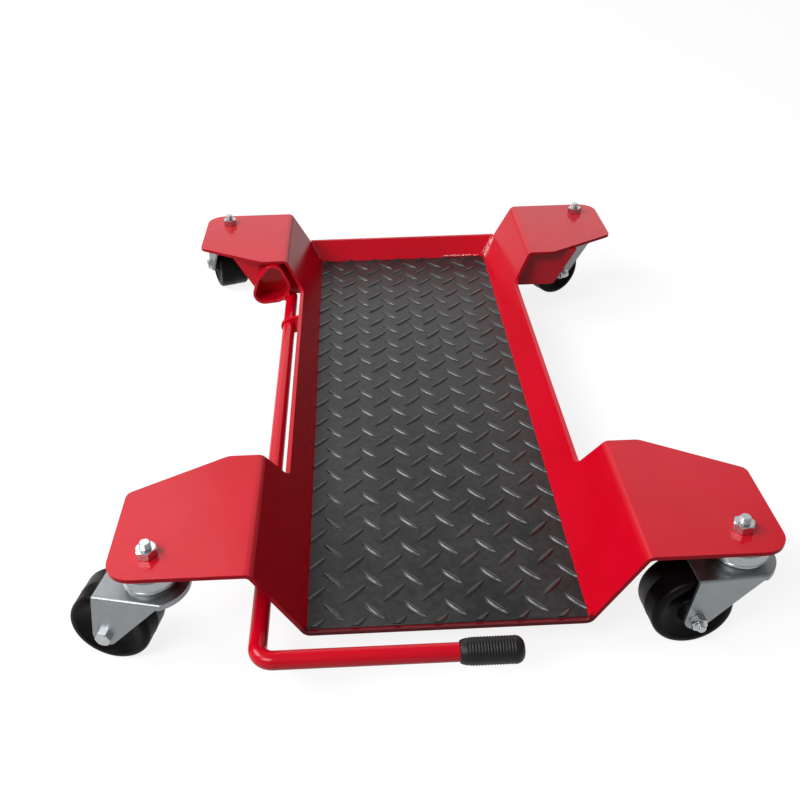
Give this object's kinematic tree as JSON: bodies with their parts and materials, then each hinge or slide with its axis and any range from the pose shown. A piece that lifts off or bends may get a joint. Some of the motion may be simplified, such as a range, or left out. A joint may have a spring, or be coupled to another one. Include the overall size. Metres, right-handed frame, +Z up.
{
  "type": "motorcycle dolly",
  "caption": "Low steel tray on swivel casters that carries a parked motorcycle, with a tread-pattern mat and a side lever that sets a brake foot on the floor.",
  "frame": {"origin": "middle of the deck, on top of the mat", "axes": "+Z up out of the deck, +Y along the deck to its closed end, +X to the right seen from the open end"},
  "size_m": [0.6222, 0.8716, 0.127],
  "materials": {
    "red_paint": "gloss",
    "mat_rubber": "matte",
    "grip_rubber": "satin",
    "zinc_pressing": "bright zinc",
    "zinc_bolt": "bright zinc",
    "bearing_steel": "polished",
    "wheel_black": "satin"
  },
  "bodies": {
    "frame": {"tray": "red_paint", "back_wall": "red_paint", "rubber_mat": "mat_rubber", "gusset_front_left": "red_paint", "gusset_front_right": "red_paint", "gusset_rear_left": "red_paint", "gusset_rear_right": "red_paint", "lever_bearing": "red_paint", "stem_front_left": "zinc_bolt", "stem_nut_front_left": "zinc_bolt", "race_cup_front_left": "zinc_pressing", "race_washer_front_left": "zinc_pressing", "stem_front_right": "zinc_bolt", "stem_nut_front_right": "zinc_bolt", "race_cup_front_right": "zinc_pressing", "race_washer_front_right": "zinc_pressing", "stem_rear_left": "zinc_bolt", "stem_nut_rear_left": "zinc_bolt", "race_cup_rear_left": "zinc_pressing", "race_washer_rear_left": "zinc_pressing", "stem_rear_right": "zinc_bolt", "stem_nut_rear_right": "zinc_bolt", "race_cup_rear_right": "zinc_pressing", "race_washer_rear_right": "zinc_pressing"},
    "brake_lever": {"lever_rod": "red_paint", "lever_grip": "grip_rubber", "brake_foot": "red_paint", "lever_collars": "red_paint"},
    "fork_front_left": {"fork_front_left": "zinc_pressing", "swivel_balls_front_left": "bearing_steel", "axle_sleeve_front_left": "zinc_bolt", "axle_bolt_front_left": "zinc_bolt", "axle_nut_front_left": "zinc_bolt"},
    "wheel_front_left": {"wheel_front_left": "wheel_black"},
    "fork_front_right": {"fork_front_right": "zinc_pressing", "swivel_balls_front_right": "bearing_steel", "axle_sleeve_front_right": "zinc_bolt", "axle_bolt_front_right": "zinc_bolt", "axle_nut_front_right": "zinc_bolt"},
    "wheel_front_right": {"wheel_front_right": "wheel_black"},
    "fork_rear_left": {"fork_rear_left": "zinc_pressing", "swivel_balls_rear_left": "bearing_steel", "axle_sleeve_rear_left": "zinc_bolt", "axle_bolt_rear_left": "zinc_bolt", "axle_nut_rear_left": "zinc_bolt"},
    "wheel_rear_left": {"wheel_rear_left": "wheel_black"},
    "fork_rear_right": {"fork_rear_right": "zinc_pressing", "swivel_balls_rear_right": "bearing_steel", "axle_sleeve_rear_right": "zinc_bolt", "axle_bolt_rear_right": "zinc_bolt", "axle_nut_rear_right": "zinc_bolt"},
    "wheel_rear_right": {"wheel_rear_right": "wheel_black"}
  },
  "joints": [
    {"name": "swivel_front_left", "type": "hinge", "parent": "frame", "child": "fork_front_left", "pos_m": [-0.255, -0.355, 0], "axis": [0, 0, 1], "continuous": true},
    {"name": "roll_front_left", "type": "hinge", "parent": "fork_front_left", "child": "wheel_front_left", "pos_m": [-0.29397, -0.346, -0.0035], "axis": [-0.225, -0.9744, 0], "continuous": true},
    {"name": "swivel_front_right", "type": "hinge", "parent": "frame", "child": "fork_front_right", "pos_m": [0.255, -0.355, 0], "axis": [0, 0, 1], "continuous": true},
    {"name": "roll_front_right", "type": "hinge", "parent": "fork_front_right", "child": "wheel_front_right", "pos_m": [0.21512, -0.35814, -0.0035], "axis": [0.0785, -0.9969, 0], "continuous": true},
    {"name": "swivel_rear_left", "type": "hinge", "parent": "frame", "child": "fork_rear_left", "pos_m": [-0.255, 0.355, 0], "axis": [0, 0, 1], "continuous": true},
    {"name": "roll_rear_left", "type": "hinge", "parent": "fork_rear_left", "child": "wheel_rear_left", "pos_m": [-0.26835, 0.39271, -0.0035], "axis": [-0.9426, -0.3338, 0], "continuous": true},
    {"name": "swivel_rear_right", "type": "hinge", "parent": "frame", "child": "fork_rear_right", "pos_m": [0.255, 0.355, 0], "axis": [0, 0, 1], "continuous": true},
    {"name": "roll_rear_right", "type": "hinge", "parent": "fork_rear_right", "child": "wheel_rear_right", "pos_m": [0.22002, 0.33561, -0.0035], "axis": [0.4848, -0.8746, 0], "continuous": true},
    {"name": "brake_lever_turn", "type": "hinge", "parent": "frame", "child": "brake_lever", "pos_m": [-0.16274, 0, 0.01456], "axis": [0, -1, 0], "range_deg": [0, 128.5]}
  ]
}
